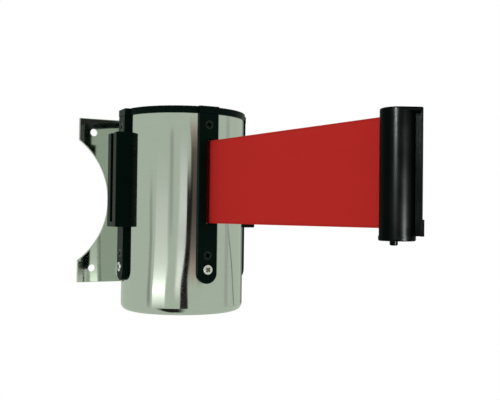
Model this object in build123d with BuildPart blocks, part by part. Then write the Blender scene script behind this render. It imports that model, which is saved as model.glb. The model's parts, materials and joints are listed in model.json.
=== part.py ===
from build123d import *
import os
from math import acos, atan2, cos, pi, radians, sin, sqrt

os.makedirs("parts", exist_ok=True)

# Wall-mounted retractable belt unit. Millimetres, +Z up. The origin is the centre of the wall plate's
# four screw holes, on the face that lies against the wall. The wall is at +Y and the belt leaves
# towards -Y.

# Wall plate
plate_w = 108.0
plate_h = 107.2
plate_t = 2.0
plate_hole_r = 2.4
plate_hole_pitch = 89.0
scallop_r = 48.7
plate_waist = 68.4
plate_edge_round = 0.35

# Canister shell, a drawn steel cup
shell_r = 37.5
shell_wall = 0.8
shell_top = 50.3
shell_bottom = -67.3
shell_bottom_round = 4.3
seat_gap = 0.05

# Top cap
cap_overhang = 0.7
cap_rim_h = 4.2
cap_edge_round = 0.7
cap_spigot_h = 3.0
cap_spigot_wall = 1.6
tab_groove_w = 0.4
tab_groove_depth = 0.8
tab_len = 5.0
tab_edge_round = 0.4

# Upright strips, one on each side of the shell
strip_half_w = 6.0
strip_proud = 2.8
strip_root = 2.0
strip_tip = -48.7
strip_edge_round = 0.6
front, right, back, left = 0, 90, 180, 270
strip_turns = (front, right, back, left)

# Receiver channels for a belt end's T-shaped tongue
receiver_proud = 8.5
receiver_root = 3.0
receiver_w = 17.6
receiver_z0 = -16.5
receiver_z1 = 40.0
receiver_round = 0.5
channel_stop = 3.0
channel_floor_t = 2.2
channel_lip = 1.3
channel_half_w = 6.0
mouth_half_w = 2.7

# Belt
belt_h = 48.0
belt_t = 0.5
belt_z0 = -13.6
belt_length = 2000.0
belt_turn = 8.45
exit_x = 1.0
drawn_out = 146.8
slot_half_w = 2.0
slot_end_gap = 0.5
shell_slot_gap = 1.0
lip_round = 0.9
lead_start = 1.0
lead_len = 2.0

# Belt end
end_r = 7.6
end_top = 37.0
end_cap_top = -16.7
end_cap_h = 2.1
end_cap_r = 7.85
rod_offset = 1.8
rod_r = 1.6
rod_head_r = 1.75
rod_head_h = 2.0
rod_seat = 1.2
loop_gap = 0.1
pocket_r = 3.4
slot_sweep = 36.0
slot_reach = 22.8
tongue_turn = 46.0
tongue_web_half_w = 1.8
tongue_half_w = 5.5
tongue_t = 1.0
tongue_neck = 1.6
tongue_foot_h = 7.0
tongue_foot_t = 0.7
end_lid_t = 1.6

# Wall clip, the same T shape, standing on the wall plate
clip_pad_t = 1.0
clip_pad_w = 16.0
clip_face_gap = 0.5
clip_side_gap = 0.3
clip_rest_gap = 0.05
rivet_r = 1.6
rivet_head_r = 3.0
rivet_spacing = 34.0

# Screws
black_r = 1.25
black_head_r = 2.6
black_zs = (43.6, -32.3)
silver_r = 1.5
silver_head_r = 2.85
silver_head_h = 0.9
silver_z = -40.5
screw_gap = 0.05
screw_len = 8.5
screw_hole_depth = 9.5
recess_w = 1.0
recess_len = 3.0
recess_depth = 0.9

# Inner frames
frame_gap = 0.3
frame_wall = 1.5
deck_t = 2.4
deck_gap = 1.2
boss_half_w = 5.5
boss_depth = 6.0
lower_frame_z0 = -46.0
post_r = 3.0
post_inset = 4.4
arbor_gap = 1.0
frame_screw_r = 1.25
frame_screw_head_r = 2.3
frame_screw_len = 12.0
guide_pin_r = 1.5
guide_pin_inset = 4.0
guide_gap = 0.3

# Reel
hub_r = 14.0
hub_wall = 3.0
flange_r = 27.0
flange_t = 1.6
flange_gap = 1.0
shaft_r = 3.0
bush_gap = 0.05
bush_seat = 0.02
bore_gap = 0.2
bush_wall = 1.1
bush_len = 7.0
boss_r = 6.5
arbor_r = 5.0
flange_screw_r = 0.9
flange_screw_head_r = 1.6
flange_screw_head_h = 0.7
flange_screw_len = 8.0
anchor_pin_r = 0.9

# Spring
spring_cup_r = 26.0
spring_cup_wall = 1.5
spring_cup_h = 16.4
spring_t = 0.4
spring_end_gap = 1.2
spring_side_gap = 0.5
spring_half_turns = 18
nut_across = 10.0
nut_h = 4.0
washer_r = 6.0
washer_t = 1.0
thread_proud = 1.0

# Places worked out from the sizes above
cap_r = shell_r + cap_overhang
strip_r = shell_r + strip_proud
receiver_r = shell_r + receiver_proud
channel_floor_r = strip_r + channel_floor_t
shell_in_r = shell_r - shell_wall
cup_floor = shell_bottom + shell_wall
frame_r = shell_in_r - frame_gap
post_place_r = frame_r - post_inset
guide_pin_place = shell_r - guide_pin_inset
axis_y = -(plate_t + clip_pad_t + clip_face_gap + receiver_r)
belt_z1 = belt_z0 + belt_h
belt_mid_z = belt_z0 + belt_h / 2
exit_y = axis_y - strip_r
flange_low_top = belt_z0 - flange_gap
flange_low_z = flange_low_top - flange_t
flange_high_z = belt_z1 + flange_gap
flange_high_top = flange_high_z + flange_t
deck_low_top = flange_low_z - deck_gap
deck_low_z = deck_low_top - deck_t
deck_high_z = flange_high_top + deck_gap
deck_high_top = deck_high_z + deck_t
upper_boss_h = shell_top - cap_spigot_h - deck_high_top
channel_lip_r = receiver_r - channel_lip
belt_dir = Vector(sin(radians(belt_turn)), -cos(radians(belt_turn)), 0)
rod_place = Vector(exit_x, exit_y, 0) + belt_dir * drawn_out
end_place = rod_place + belt_dir * rod_offset
loop_in_r = rod_r + loop_gap
loop_r = loop_in_r + belt_t
coil_area = (belt_length - drawn_out - strip_r) * belt_t
coil_r = sqrt(hub_r**2 + coil_area / pi)


def round_plane(z, turn=0.0):
    """Level plane on the canister's axis: its x points outward at this turn from the front."""
    outward = (sin(radians(turn)), -cos(radians(turn)), 0)
    return Plane(origin=(0, axis_y, z), x_dir=outward, z_dir=(0, 0, 1))


def face_plane(turn, radius):
    """Upright plane facing outward from the canister: its x runs round the shell, its y is height."""
    outward = Vector(sin(radians(turn)), -cos(radians(turn)), 0)
    around = Vector(cos(radians(turn)), sin(radians(turn)), 0)
    return Plane(origin=Vector(0, axis_y, 0) + outward * radius, x_dir=around, z_dir=outward)


def face_spot(turn, radius, z):
    """Place on an upright plane, at this height, looking outward."""
    return Location(face_plane(turn, radius)) * Location((0, z, 0))


def finish(piece, name):
    """Name a piece and write its file."""
    piece.part.label = name
    export_step(piece.part, f"parts/{name}.step")


def ring(z, height, outer, inner=0.0, mode=Mode.ADD):
    """Upright ring or disc on the canister's axis."""
    with BuildSketch(round_plane(z)) as outline:
        Circle(outer)
        if inner > 0:
            Circle(inner, mode=Mode.SUBTRACT)
    extrude(outline.sketch, amount=height, mode=mode)


def cross_recess(spot, depth):
    """Cross recess in a screw head whose face is at this spot."""
    for slant in (0, 90):
        with Locations(spot * Location((0, 0, 0), (0, 0, slant))):
            Box(recess_w, recess_len, depth, align=(Align.CENTER, Align.CENTER, Align.MAX),
                mode=Mode.SUBTRACT)


# ---------------------------------------------------------------- wall plate
with BuildPart() as wall_plate:
    with BuildSketch(Plane.XZ):
        Rectangle(plate_w, plate_h)
        with Locations((scallop_r + plate_waist / 2, 0), (-scallop_r - plate_waist / 2, 0)):
            Circle(scallop_r, mode=Mode.SUBTRACT)
        with GridLocations(plate_hole_pitch, plate_hole_pitch, 2, 2):
            Circle(plate_hole_r, mode=Mode.SUBTRACT)
    extrude(amount=plate_t)
    fillet(wall_plate.faces().sort_by(Axis.Y)[0].outer_wire().edges(), plate_edge_round)
    for z in (belt_mid_z - rivet_spacing / 2, belt_mid_z + rivet_spacing / 2):
        with Locations(Location((0, 0, z), (-90, 0, 0))):
            CounterSinkHole(rivet_r + screw_gap, rivet_head_r, counter_sink_angle=90)
finish(wall_plate, "wall_plate")

# ---------------------------------------------------------------- wall clip
clip_top = receiver_z1 - channel_stop - clip_rest_gap
clip_bottom = receiver_z0 + channel_stop
clip_flange_in = channel_floor_r + clip_side_gap
clip_flange_out = channel_lip_r - clip_side_gap
pad_front_r = receiver_r + clip_face_gap
pad_back_r = pad_front_r + clip_pad_t
with BuildPart() as wall_clip:
    with BuildSketch(round_plane(clip_bottom, back)):
        with Locations(((clip_flange_in + clip_flange_out) / 2, 0)):
            Rectangle(clip_flange_out - clip_flange_in, 2 * tongue_half_w)
        with Locations(((clip_flange_out + pad_front_r) / 2, 0)):
            Rectangle(pad_front_r - clip_flange_out, 2 * tongue_web_half_w)
        with Locations(((pad_front_r + pad_back_r) / 2, 0)):
            Rectangle(clip_pad_t, clip_pad_w)
    extrude(amount=clip_top - clip_bottom)
    for z in (belt_mid_z - rivet_spacing / 2, belt_mid_z + rivet_spacing / 2):
        with Locations(Location((0, 0, z), (-90, 0, 0))):
            Hole(rivet_r + screw_gap, depth=plate_t + clip_pad_t + clip_face_gap)
finish(wall_clip, "wall_clip")

with BuildPart() as clip_rivets:
    rivet_cone = rivet_head_r - rivet_r
    for z in (belt_mid_z - rivet_spacing / 2, belt_mid_z + rivet_spacing / 2):
        with Locations(Location((0, 0, z), (-90, 0, 0))):
            Cylinder(rivet_r, plate_t + clip_pad_t, align=(Align.CENTER, Align.CENTER, Align.MAX))
            Cone(rivet_r, rivet_head_r - screw_gap, rivet_cone - screw_gap,
                 align=(Align.CENTER, Align.CENTER, Align.MAX))
finish(clip_rivets, "clip_rivets")

# ---------------------------------------------------------------- shell
with BuildPart() as shell:
    with BuildSketch(Plane(origin=(0, axis_y, 0), x_dir=(1, 0, 0), z_dir=(0, -1, 0))):
        with BuildLine():
            outer_wall = FilletPolyline((0, shell_bottom), (shell_r, shell_bottom), (shell_r, shell_top),
                                        radius=shell_bottom_round)
            inner_wall = FilletPolyline((0, cup_floor), (shell_in_r, cup_floor), (shell_in_r, shell_top),
                                        radius=shell_bottom_round - shell_wall)
            Line(outer_wall @ 0, inner_wall @ 0)
            Line(outer_wall @ 1, inner_wall @ 1)
        make_face()
    revolve(axis=Axis((0, axis_y, 0), (0, 0, 1)))
    with BuildSketch(face_plane(front, 0)):
        with Locations((exit_x, belt_mid_z)):
            Rectangle(2 * (slot_half_w + shell_slot_gap), belt_h + 2 * (slot_end_gap + shell_slot_gap))
    extrude(amount=strip_r, mode=Mode.SUBTRACT)
    for turn in strip_turns:
        for z in black_zs:
            with Locations(face_spot(turn, strip_r, z)):
                Hole(black_r + 2 * screw_gap, depth=screw_hole_depth)
        with Locations(face_spot(turn, strip_r, silver_z)):
            Hole(silver_r + 2 * screw_gap, depth=screw_hole_depth)
finish(shell, "shell")

# ---------------------------------------------------------------- top cap
with BuildPart() as top_cap:
    ring(shell_top, cap_rim_h, cap_r)
    fillet(top_cap.faces().sort_by(Axis.Z)[-1].edges(), cap_edge_round)
    for turn in strip_turns:
        with BuildSketch(round_plane(shell_top, turn)):
            with Locations((strip_r, 0)):
                Rectangle(2 * (strip_r - cap_r + tab_groove_depth), 2 * (strip_half_w + tab_groove_w))
        extrude(amount=cap_rim_h, mode=Mode.SUBTRACT)
        with BuildSketch(round_plane(shell_top, turn)):
            with Locations((strip_r - tab_len / 2, 0)):
                Rectangle(tab_len, 2 * strip_half_w)
        extrude(amount=cap_rim_h)
    tab_edges = top_cap.edges().group_by(Axis.Z)[-1].filter_by(GeomType.LINE)
    fillet(tab_edges.filter_by(lambda edge: (edge @ 0.5 - Vector(0, axis_y, shell_top + cap_rim_h)).length
                               > strip_r - seat_gap), tab_edge_round)
    ring(shell_top - cap_spigot_h, cap_spigot_h, shell_in_r - seat_gap,
         shell_in_r - seat_gap - cap_spigot_wall)
finish(top_cap, "top_cap")


# ---------------------------------------------------------------- strips and receivers
def strip_blank(turn):
    """Upright strip with a rounded lower end, before its holes."""
    strip_top = shell_top - seat_gap
    with BuildSketch(face_plane(turn, shell_r - strip_root)) as outline:
        with Locations((0, (strip_top + strip_tip + strip_half_w) / 2)):
            Rectangle(2 * strip_half_w, strip_top - strip_tip - strip_half_w)
        with Locations((0, strip_tip + strip_half_w)):
            Circle(strip_half_w)
    extrude(outline.sketch, amount=strip_proud + strip_root)


def strip_holes(turn):
    """Countersinks for the black screws and a plain hole for the pan head screw."""
    for z in black_zs:
        with Locations(face_spot(turn, strip_r, z)):
            CounterSinkHole(black_r + screw_gap, black_head_r + screw_gap, depth=screw_hole_depth,
                            counter_sink_angle=90)
    with Locations(face_spot(turn, strip_r, silver_z)):
        Hole(silver_r + screw_gap, depth=screw_hole_depth)


with BuildPart() as outlet_strip:
    strip_blank(front)
    fillet(outlet_strip.faces().sort_by(Axis.Y)[0].outer_wire().edges(), strip_edge_round)
    ring(shell_bottom, shell_top - shell_bottom, shell_r + seat_gap, mode=Mode.SUBTRACT)
    with BuildSketch(face_plane(front, 0)):
        with Locations((exit_x, belt_mid_z)):
            Rectangle(2 * slot_half_w, belt_h + 2 * slot_end_gap)
    extrude(amount=strip_r, mode=Mode.SUBTRACT)
    slot_edges = outlet_strip.faces().sort_by(Axis.Y)[0].inner_wires()[0].edges()
    fillet(slot_edges, lip_round)
    strip_holes(front)
finish(outlet_strip, "outlet_strip")


def make_receiver(name, turn, open_above):
    """Strip with a C-shaped channel block, its channel open at one end and stopped at the other."""
    outward = (sin(radians(turn)), -cos(radians(turn)), 0)
    with BuildPart() as receiver:
        strip_blank(turn)
        fillet(receiver.faces().sort_by(Axis((0, axis_y, 0), outward))[-1].edges(), strip_edge_round)
        with BuildSketch(face_plane(turn, shell_r - receiver_root)):
            with Locations((0, (receiver_z0 + receiver_z1) / 2)):
                RectangleRounded(receiver_w, receiver_z1 - receiver_z0, receiver_round)
        extrude(amount=receiver_proud + receiver_root)
        fillet(receiver.faces().sort_by(Axis((0, axis_y, 0), outward))[-1].edges(), receiver_round)
        ring(shell_bottom, shell_top - shell_bottom, shell_r + seat_gap, mode=Mode.SUBTRACT)
        channel_z0 = receiver_z0 + channel_stop if open_above else receiver_z0 - channel_stop
        with BuildSketch(round_plane(channel_z0, turn)):
            with Locations(((channel_floor_r + channel_lip_r) / 2, 0)):
                Rectangle(channel_lip_r - channel_floor_r, 2 * channel_half_w)
            with Locations((receiver_r, 0)):
                Rectangle(2 * channel_lip, 2 * mouth_half_w)
        extrude(amount=receiver_z1 - receiver_z0, mode=Mode.SUBTRACT)
        strip_holes(turn)
    finish(receiver, name)


make_receiver("receiver_left", left, True)
make_receiver("receiver_right", right, True)
make_receiver("receiver_back", back, False)

# ---------------------------------------------------------------- strip screws
with BuildPart() as strip_screws_black:
    for turn in strip_turns:
        for z in black_zs:
            spot = face_spot(turn, strip_r - screw_gap, z)
            with Locations(spot):
                Cylinder(black_r, screw_len, align=(Align.CENTER, Align.CENTER, Align.MAX))
                Cone(black_r, black_head_r, black_head_r - black_r,
                     align=(Align.CENTER, Align.CENTER, Align.MAX))
            cross_recess(spot, recess_depth)
finish(strip_screws_black, "strip_screws_black")

with BuildPart() as strip_screws_silver:
    for turn in strip_turns:
        spot = face_spot(turn, strip_r, silver_z)
        with Locations(spot):
            Cylinder(silver_r, screw_len, align=(Align.CENTER, Align.CENTER, Align.MAX))
            Cylinder(silver_head_r, silver_head_h, align=(Align.CENTER, Align.CENTER, Align.MIN))
        cross_recess(spot * Location((0, 0, silver_head_h)), recess_depth)
finish(strip_screws_silver, "strip_screws_silver")


# ---------------------------------------------------------------- inner frames
def frame_bosses(z0, height):
    """Solid blocks behind the strips, inside the frame's wall, that take the strip screws."""
    for turn in strip_turns:
        with BuildSketch(round_plane(z0, turn)) as outline:
            with Locations((frame_r - frame_wall / 2 - boss_depth / 2, 0)):
                Rectangle(boss_depth, 2 * boss_half_w)
        extrude(outline.sketch, amount=height)


def shaft_hole(radius):
    """Hole on the canister's axis, through everything."""
    ring(shell_bottom, shell_top - shell_bottom, radius, mode=Mode.SUBTRACT)


pin_side = guide_pin_r + guide_gap + belt_t / 2
belt_back = (axis_y - guide_pin_place - exit_y) / belt_dir.Y
belt_throat = Vector(exit_x, exit_y, 0) + belt_dir * belt_back
pin_across = Vector(-belt_dir.Y, belt_dir.X, 0) * pin_side
right_pin = belt_throat + pin_across
left_pin = belt_throat - pin_across

with BuildPart() as lower_frame:
    ring(lower_frame_z0, deck_low_z - lower_frame_z0, frame_r, frame_r - frame_wall)
    ring(deck_low_z, deck_t, frame_r)
    frame_bosses(lower_frame_z0, deck_low_z - lower_frame_z0)
    with BuildSketch(round_plane(deck_low_top, 45)):
        with PolarLocations(post_place_r, len(strip_turns)):
            Circle(post_r)
    extrude(amount=deck_high_z - deck_low_top)
    shaft_hole(arbor_r + arbor_gap)
    for turn in strip_turns:
        with Locations(face_spot(turn, strip_r, black_zs[1])):
            Hole(black_r + screw_gap, depth=screw_hole_depth)
        with Locations(face_spot(turn, strip_r, silver_z)):
            Hole(silver_r + screw_gap, depth=screw_hole_depth)
    with Locations(Location((left_pin.X, left_pin.Y, deck_high_z)),
                   Location((right_pin.X, right_pin.Y, deck_high_z))):
        Hole(guide_pin_r + bush_seat, depth=deck_high_z - deck_low_z)
    with Locations(Location(round_plane(deck_high_z, 45))):
        with PolarLocations(post_place_r, len(strip_turns)):
            Hole(frame_screw_r + screw_gap, depth=frame_screw_len)
finish(lower_frame, "lower_frame")

with BuildPart() as upper_frame:
    ring(deck_high_z, deck_t, frame_r)
    ring(deck_high_top, upper_boss_h, frame_r, frame_r - frame_wall)
    frame_bosses(deck_high_top, upper_boss_h)
    shaft_hole(shaft_r + bush_seat)
    for turn in strip_turns:
        with Locations(face_spot(turn, strip_r, black_zs[0])):
            Hole(black_r + screw_gap, depth=screw_hole_depth)
    with Locations(Location((left_pin.X, left_pin.Y, deck_high_top)),
                   Location((right_pin.X, right_pin.Y, deck_high_top))):
        Hole(guide_pin_r + bush_seat, depth=deck_t)
    with Locations(Location(round_plane(deck_high_top, 45))):
        with PolarLocations(post_place_r, len(strip_turns)):
            Hole(frame_screw_r + screw_gap, depth=deck_t)
finish(upper_frame, "upper_frame")

with BuildPart() as frame_screws:
    for corner in range(len(strip_turns)):
        place = Location(round_plane(deck_high_top, 45 + 90 * corner))
        with Locations(place * Location((post_place_r, 0, 0))):
            Cylinder(frame_screw_r, frame_screw_len, align=(Align.CENTER, Align.CENTER, Align.MAX))
            Cylinder(frame_screw_head_r, frame_screw_head_r / 2,
                     align=(Align.CENTER, Align.CENTER, Align.MIN))
finish(frame_screws, "frame_screws")

with BuildPart() as guide_pins:
    with BuildSketch(Plane.XY.offset(deck_low_z)):
        with Locations((left_pin.X, left_pin.Y), (right_pin.X, right_pin.Y)):
            Circle(guide_pin_r)
    extrude(amount=deck_high_top - deck_low_z)
finish(guide_pins, "guide_pins")

# ---------------------------------------------------------------- reel
arbor_z = deck_low_z - spring_cup_h + spring_cup_wall + spring_end_gap / 2
bush_r = shaft_r + bush_gap + bush_wall
with BuildPart() as spool:
    ring(flange_low_z, flange_t, flange_r)
    ring(flange_low_top, belt_h + 2 * flange_gap, hub_r, hub_r - hub_wall)
    ring(arbor_z, flange_low_top - arbor_z, arbor_r)
    ring(flange_low_top, bush_len, boss_r)
    shaft_hole(shaft_r + bore_gap)
    ring(flange_low_top, bush_len, bush_r + bush_seat, mode=Mode.SUBTRACT)
    with BuildSketch(round_plane(flange_high_z)):
        with PolarLocations(hub_r - hub_wall / 2, 3):
            Circle(flange_screw_r + screw_gap)
    extrude(amount=-flange_screw_len, mode=Mode.SUBTRACT)
    with BuildSketch(round_plane(flange_low_top, 30)):
        with Locations((hub_r - anchor_pin_r, 0)):
            Circle(anchor_pin_r + screw_gap)
    extrude(amount=belt_h + 2 * flange_gap, mode=Mode.SUBTRACT)
finish(spool, "spool")

with BuildPart() as spool_flange:
    ring(flange_high_z, flange_t, flange_r)
    ring(flange_high_z - bush_len, bush_len, boss_r)
    ring(flange_high_z - cap_spigot_h, cap_spigot_h, hub_r - hub_wall - seat_gap,
         hub_r - hub_wall - seat_gap - cap_spigot_wall)
    shaft_hole(bush_r + bush_seat)
    with BuildSketch(round_plane(flange_high_z)):
        with PolarLocations(hub_r - hub_wall / 2, 3):
            Circle(flange_screw_r + screw_gap)
    extrude(amount=flange_t, mode=Mode.SUBTRACT)
finish(spool_flange, "spool_flange")

with BuildPart() as lower_bushing:
    ring(flange_low_top, bush_len, bush_r, shaft_r + bush_gap)
finish(lower_bushing, "lower_bushing")

with BuildPart() as upper_bushing:
    ring(flange_high_z - bush_len, bush_len + flange_t, bush_r, shaft_r + bush_gap)
finish(upper_bushing, "upper_bushing")

with BuildPart() as flange_screws:
    for corner in range(3):
        place = Location(round_plane(flange_high_top, 120 * corner))
        with Locations(place * Location((hub_r - hub_wall / 2, 0, 0))):
            Cylinder(flange_screw_r, flange_screw_len, align=(Align.CENTER, Align.CENTER, Align.MAX))
            Cylinder(flange_screw_head_r, flange_screw_head_h,
                     align=(Align.CENTER, Align.CENTER, Align.MIN))
finish(flange_screws, "flange_screws")

with BuildPart() as anchor_pin:
    with BuildSketch(round_plane(belt_z0, 30)):
        with Locations((hub_r - anchor_pin_r, 0)):
            Circle(anchor_pin_r)
    extrude(amount=belt_h)
finish(anchor_pin, "anchor_pin")

with BuildPart() as belt_coil:
    ring(belt_z0, belt_h, coil_r, hub_r + seat_gap)
finish(belt_coil, "belt_coil")

# ---------------------------------------------------------------- shaft and spring
cup_z = deck_low_z - spring_cup_h
shaft_low = cup_z - washer_t
shaft_high = deck_high_top + washer_t + nut_h + thread_proud
with BuildPart() as reel_shaft:
    ring(shaft_low, shaft_high - shaft_low, shaft_r)
    with BuildSketch(round_plane(shaft_low - nut_h)):
        RegularPolygon(nut_across / 2, 6, major_radius=False)
    extrude(amount=nut_h)
finish(reel_shaft, "reel_shaft")

with BuildPart() as shaft_nut:
    with BuildSketch(round_plane(deck_high_top + washer_t)):
        RegularPolygon(nut_across / 2, 6, major_radius=False)
        Circle(shaft_r + bush_seat, mode=Mode.SUBTRACT)
    extrude(amount=nut_h)
finish(shaft_nut, "shaft_nut")

with BuildPart() as shaft_washers:
    for z in (shaft_low, deck_high_top):
        ring(z, washer_t, washer_r, shaft_r + bush_seat)
finish(shaft_washers, "shaft_washers")

with BuildPart() as spring_cup:
    ring(cup_z, spring_cup_h, spring_cup_r)
    ring(cup_z + spring_cup_wall, spring_cup_h, spring_cup_r - spring_cup_wall, mode=Mode.SUBTRACT)
    shaft_hole(shaft_r + bush_seat)
finish(spring_cup, "spring_cup")

spring_in_r = arbor_r + spring_side_gap
spring_out_r = spring_cup_r - spring_cup_wall - spring_side_gap
spring_step = (spring_out_r - spring_in_r) / spring_half_turns
with BuildPart() as power_spring:
    with BuildSketch(round_plane(cup_z + spring_cup_wall + spring_end_gap)):
        with BuildLine():
            for edge_t in (0, spring_t):
                for half in range(spring_half_turns):
                    turn_r = spring_in_r + spring_step * (half + 0.5)
                    shift = spring_step / 2 if half % 2 else -spring_step / 2
                    start = 180 if half % 2 else 0
                    CenterArc((shift, 0), turn_r - edge_t, start, 180)
            Line((spring_in_r, 0), (spring_in_r - spring_t, 0))
            Line((spring_out_r, 0), (spring_out_r - spring_t, 0))
        make_face()
    extrude(amount=spring_cup_h - spring_cup_wall - 2 * spring_end_gap)
finish(power_spring, "power_spring")

# ---------------------------------------------------------------- belt inside the canister
feed_r = coil_r + guide_gap + belt_t / 2
to_axis = Vector(0, axis_y, 0) - left_pin
side_angle = atan2(to_axis.Y, to_axis.X) - acos((feed_r + pin_side) / to_axis.length)
side_dir = Vector(cos(side_angle), sin(side_angle), 0)
coil_leave = Vector(0, axis_y, 0) - side_dir * feed_r
pin_meet = left_pin + side_dir * pin_side
pin_leave = left_pin + pin_across.normalized() * pin_side
pin_top = left_pin + (side_dir + pin_across.normalized()).normalized() * pin_side
with BuildPart() as belt_feed:
    with BuildSketch(Plane.XY.offset(belt_z0)):
        with BuildLine():
            Line((coil_leave.X, coil_leave.Y), (pin_meet.X, pin_meet.Y))
            ThreePointArc((pin_meet.X, pin_meet.Y), (pin_top.X, pin_top.Y), (pin_leave.X, pin_leave.Y))
            Line((pin_leave.X, pin_leave.Y), (exit_x, exit_y))
        trace(line_width=belt_t)
    extrude(amount=belt_h)
finish(belt_feed, "belt_feed")

# ---------------------------------------------------------------- belt outside the canister
run_start = lead_start + lead_len + seat_gap
belt_plane = Plane(origin=(exit_x, exit_y, belt_z0), x_dir=belt_dir, z_dir=(0, 0, 1))


def belt_stretch(start, stop):
    """Flat stretch of belt between two distances from the outlet."""
    with BuildSketch(belt_plane) as outline:
        with Locations(((start + stop) / 2, 0)):
            Rectangle(stop - start, belt_t)
    extrude(outline.sketch, amount=belt_h)


with BuildPart() as belt_lead:
    belt_stretch(lead_start, lead_start + lead_len)
finish(belt_lead, "belt_lead")

with BuildPart() as belt_run:
    belt_stretch(run_start, drawn_out - loop_r - seat_gap)
finish(belt_run, "belt_run")

with BuildPart() as belt_loop:
    with BuildSketch(belt_plane):
        with Locations((drawn_out, 0)):
            Circle(loop_r)
            Circle(loop_in_r, mode=Mode.SUBTRACT)
    extrude(amount=belt_h)
finish(belt_loop, "belt_loop")

# ---------------------------------------------------------------- belt end
tongue_dir = belt_dir.rotate(Axis.Z, tongue_turn)
rod_angle = 180 - tongue_turn
rod_x = rod_offset * cos(radians(rod_angle))
rod_y = rod_offset * sin(radians(rod_angle))


def end_plane(z):
    """Level plane on the belt end's axis, its x along the tongue."""
    return Plane(origin=(end_place.X, end_place.Y, z), x_dir=tongue_dir, z_dir=(0, 0, 1))


tongue_in = end_r + tongue_neck
tongue_out = tongue_in + tongue_t
with BuildPart() as belt_end_body:
    with BuildSketch(end_plane(end_cap_top)):
        Circle(end_r)
    extrude(amount=end_top - end_cap_top)
    with BuildSketch(end_plane(end_top - end_lid_t)):
        Circle(end_r)
        with Locations((tongue_out - tongue_t / 2, 0)):
            Rectangle(tongue_t, 2 * tongue_half_w)
        make_hull()
    extrude(amount=end_lid_t)
    fillet(belt_end_body.faces().sort_by(Axis.Z)[-1].edges(), cap_edge_round)
    with BuildSketch(end_plane(end_cap_top)):
        with Locations((tongue_in / 2, 0)):
            Rectangle(tongue_in, 2 * tongue_web_half_w)
        with Locations((tongue_in + tongue_t / 2, 0)):
            Rectangle(tongue_t, 2 * tongue_half_w)
    extrude(amount=end_top - end_lid_t - end_cap_top)
    with BuildSketch(end_plane(end_cap_top)):
        with Locations((tongue_in + (tongue_t + tongue_foot_t) / 2, 0)):
            Rectangle(tongue_t + tongue_foot_t, 2 * tongue_half_w)
    extrude(amount=tongue_foot_h)
    with BuildSketch(end_plane(end_cap_top)):
        with Locations((rod_x, rod_y)):
            Circle(pocket_r)
        with BuildLine():
            edge_low = Vector(rod_x, rod_y) + Vector(slot_reach, 0).rotate(Axis.Z, rod_angle - slot_sweep)
            edge_high = Vector(rod_x, rod_y) + Vector(slot_reach, 0).rotate(Axis.Z, rod_angle + slot_sweep)
            Polyline((rod_x, rod_y), (edge_low.X, edge_low.Y), (edge_high.X, edge_high.Y), close=True)
        make_face()
    extrude(amount=belt_z1 + slot_end_gap - end_cap_top, mode=Mode.SUBTRACT)
    with BuildSketch(end_plane(belt_z1 + slot_end_gap)):
        with Locations((rod_x, rod_y)):
            Circle(rod_r + bush_seat)
    extrude(amount=rod_seat / 2, mode=Mode.SUBTRACT)
finish(belt_end_body, "belt_end_body")

with BuildPart() as belt_end_cap:
    with BuildSketch(end_plane(end_cap_top - end_cap_h)):
        Circle(end_cap_r)
    extrude(amount=end_cap_h)
    fillet(belt_end_cap.faces().sort_by(Axis.Z)[0].edges(), cap_edge_round)
    with BuildSketch(end_plane(end_cap_top)):
        with Locations((rod_x, rod_y)):
            Circle(rod_r + bush_seat)
    extrude(amount=-end_cap_h, mode=Mode.SUBTRACT)
finish(belt_end_cap, "belt_end_cap")

rod_low = end_cap_top - end_cap_h
with BuildPart() as belt_rod:
    with BuildSketch(end_plane(rod_low)):
        with Locations((rod_x, rod_y)):
            Circle(rod_r)
    extrude(amount=belt_z1 + slot_end_gap + rod_seat / 2 - seat_gap - rod_low)
    with BuildSketch(end_plane(rod_low - rod_head_h)):
        with Locations((rod_x, rod_y)):
            Circle(rod_head_r)
    extrude(amount=rod_head_h)
    fillet(belt_rod.faces().sort_by(Axis.Z)[0].edges(), cap_edge_round)
finish(belt_rod, "belt_rod")
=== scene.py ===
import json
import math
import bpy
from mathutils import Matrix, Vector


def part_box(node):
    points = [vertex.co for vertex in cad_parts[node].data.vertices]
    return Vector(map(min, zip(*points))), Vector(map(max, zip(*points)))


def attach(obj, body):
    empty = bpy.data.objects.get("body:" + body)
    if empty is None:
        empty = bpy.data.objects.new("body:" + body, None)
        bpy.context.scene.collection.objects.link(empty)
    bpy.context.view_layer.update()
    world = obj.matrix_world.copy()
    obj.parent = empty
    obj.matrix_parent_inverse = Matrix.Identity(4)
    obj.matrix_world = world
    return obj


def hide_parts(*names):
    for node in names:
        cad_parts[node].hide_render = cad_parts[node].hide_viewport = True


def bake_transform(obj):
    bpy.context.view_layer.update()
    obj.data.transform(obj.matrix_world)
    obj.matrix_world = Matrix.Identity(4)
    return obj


bl_info = {
    "name": "Wall belt unit",
    "version": (1, 0, 0),
    "blender": (4, 5, 0),
    "location": "View3D > Sidebar > Belt unit",
    "description": "Builds the looks of a wall-mounted retractable belt unit round its packed frame",
    "category": "Add Mesh",
}

import bpy
from bpy.props import FloatProperty, FloatVectorProperty, IntProperty, PointerProperty
from mathutils import Matrix, Vector

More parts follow.
